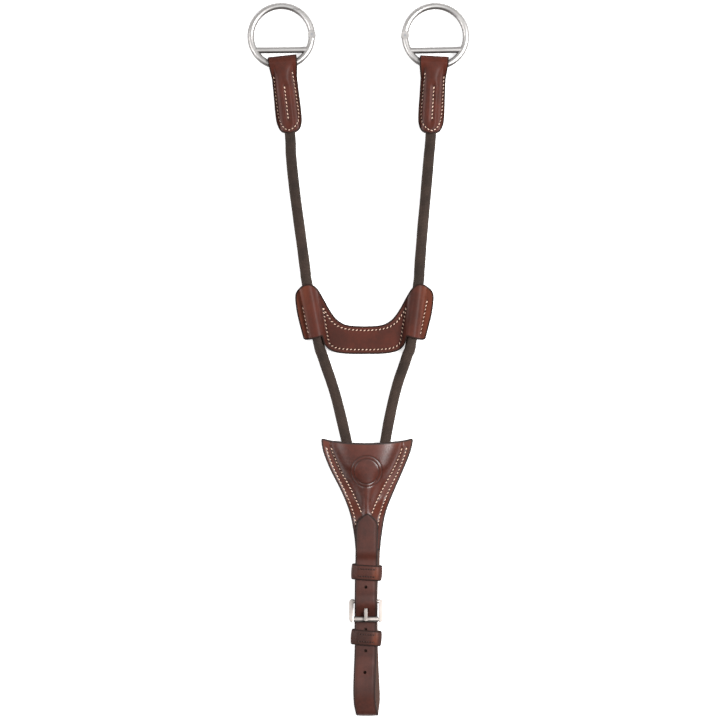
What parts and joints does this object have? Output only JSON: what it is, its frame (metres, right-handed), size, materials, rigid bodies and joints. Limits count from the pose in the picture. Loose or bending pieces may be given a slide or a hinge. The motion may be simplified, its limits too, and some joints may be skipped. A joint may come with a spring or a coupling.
{
  "type": "running martingale fork",
  "caption": "Leather and braided cord martingale fork with spring-gate rein rings, a bridge, a crowned triangle and a buckled loop strap.",
  "frame": {"origin": "on the flat back of the triangle, on the centre line, where the part rests on a surface", "axes": "+Y along the fork from the loop towards the rings, +X to the right seen from the front, +Z out of the front"},
  "size_m": [0.1999, 0.6426, 0.019],
  "materials": {
    "bridle_leather": "glossy chestnut bridle leather with dark dyed edges and cream stitching",
    "lining_leather": "dark brown waxed flesh side",
    "braided_cord": "dark brown round braid",
    "polished_metal": "polished stainless",
    "spring_steel": "plain spring steel"
  },
  "bodies": {
    "harness": {"triangle_back": "lining_leather", "triangle_filler": "lining_leather", "triangle_front": "bridle_leather", "cord_left": "braided_cord", "cord_right": "braided_cord", "billet_strap": "bridle_leather", "buckle_chape": "lining_leather"},
    "bridge": {"bridge_back": "lining_leather", "bridge_front": "bridle_leather"},
    "arm_left": {"tab_left": "bridle_leather"},
    "ring_left": {"ring_frame_left": "polished_metal", "gate_pin_left": "spring_steel", "gate_spring_left": "spring_steel"},
    "gate_left": {"gate_left": "polished_metal"},
    "plunger_left": {"gate_plunger_left": "spring_steel"},
    "arm_right": {"tab_right": "bridle_leather"},
    "ring_right": {"ring_frame_right": "polished_metal", "gate_pin_right": "spring_steel", "gate_spring_right": "spring_steel"},
    "gate_right": {"gate_right": "polished_metal"},
    "plunger_right": {"gate_plunger_right": "spring_steel"},
    "buckle": {"buckle_frame": "polished_metal"},
    "tongue": {"buckle_tongue": "polished_metal"},
    "roller": {"buckle_roller": "polished_metal"},
    "keeper_upper": {"keeper_upper": "bridle_leather"},
    "keeper_lower": {"keeper_lower": "bridle_leather"}
  },
  "joints": [
    {"name": "bridge_slide", "type": "slide", "parent": "harness", "child": "bridge", "axis": [0, 1, 0], "range_m": [-0.01, 0.01], "deforming": ["cord_left", "cord_right"]},
    {"name": "arm_swing_left", "type": "hinge", "parent": "harness", "child": "arm_left", "pos_m": [-0.0535, 0.168, 0.0076], "axis": [0, 0, 1], "range_deg": [-8, 35], "deforming": ["cord_left"]},
    {"name": "ring_tilt_left", "type": "hinge", "parent": "arm_left", "child": "ring_left", "pos_m": [-0.0744, 0.3653, 0.0076], "axis": [0.9959, 0.0906, 0], "range_deg": [0, 110]},
    {"name": "gate_open_left", "type": "hinge", "parent": "ring_left", "child": "gate_left", "pos_m": [-0.04925, 0.39205, 0.00549], "axis": [-0.0078, 0.0861, 0.9963], "range_deg": [0, 45], "stiffness_Nm_per_rad": 0.03, "springref_deg": -28.65},
    {"name": "plunger_travel_left", "type": "slide", "parent": "ring_left", "child": "plunger_left", "axis": [-0.1291, -0.988, 0.0844], "range_m": [0, 0.0006], "deforming": ["gate_spring_left"]},
    {"name": "arm_swing_right", "type": "hinge", "parent": "harness", "child": "arm_right", "pos_m": [0.0468, 0.168, 0.0076], "axis": [0, 0, -1], "range_deg": [-8, 35], "deforming": ["cord_right"]},
    {"name": "ring_tilt_right", "type": "hinge", "parent": "arm_right", "child": "ring_right", "pos_m": [0.061, 0.3651, 0.0076], "axis": [0.9988, -0.0488, 0], "range_deg": [0, 110]},
    {"name": "gate_open_right", "type": "hinge", "parent": "ring_right", "child": "gate_right", "pos_m": [0.03476, 0.39116, 0.00545], "axis": [-0.0042, -0.0864, -0.9963], "range_deg": [0, 45], "stiffness_Nm_per_rad": 0.03, "springref_deg": -28.65},
    {"name": "plunger_travel_right", "type": "slide", "parent": "ring_right", "child": "plunger_right", "axis": [0.1566, -0.984, 0.0846], "range_m": [0, 0.0006], "deforming": ["gate_spring_right"]},
    {"name": "buckle_tilt", "type": "hinge", "parent": "harness", "child": "buckle", "pos_m": [0, -0.1182, 0.00955], "axis": [-1, 0, 0], "range_deg": [0, 5]},
    {"name": "tongue_lift", "type": "hinge", "parent": "buckle", "child": "tongue", "pos_m": [0, -0.1182, 0.00955], "axis": [-1, 0, 0], "range_deg": [0, 5]},
    {"name": "roller_spin", "type": "hinge", "parent": "buckle", "child": "roller", "pos_m": [0, -0.1339, 0.01263], "axis": [1, 0, 0], "continuous": true},
    {"name": "keeper_upper_slide", "type": "slide", "parent": "harness", "child": "keeper_upper", "axis": [0, 1, 0], "range_m": [-0.003, 0.002]},
    {"name": "keeper_lower_slide", "type": "slide", "parent": "harness", "child": "keeper_lower", "axis": [0, 1, 0], "range_m": [-0.008, 0.005]}
  ],
  "couplings": [
    {"joint": "plunger_travel_left", "follows": "gate_open_left", "m_per_rad": 0.00076394},
    {"joint": "plunger_travel_right", "follows": "gate_open_right", "m_per_rad": 0.00076394}
  ]
}
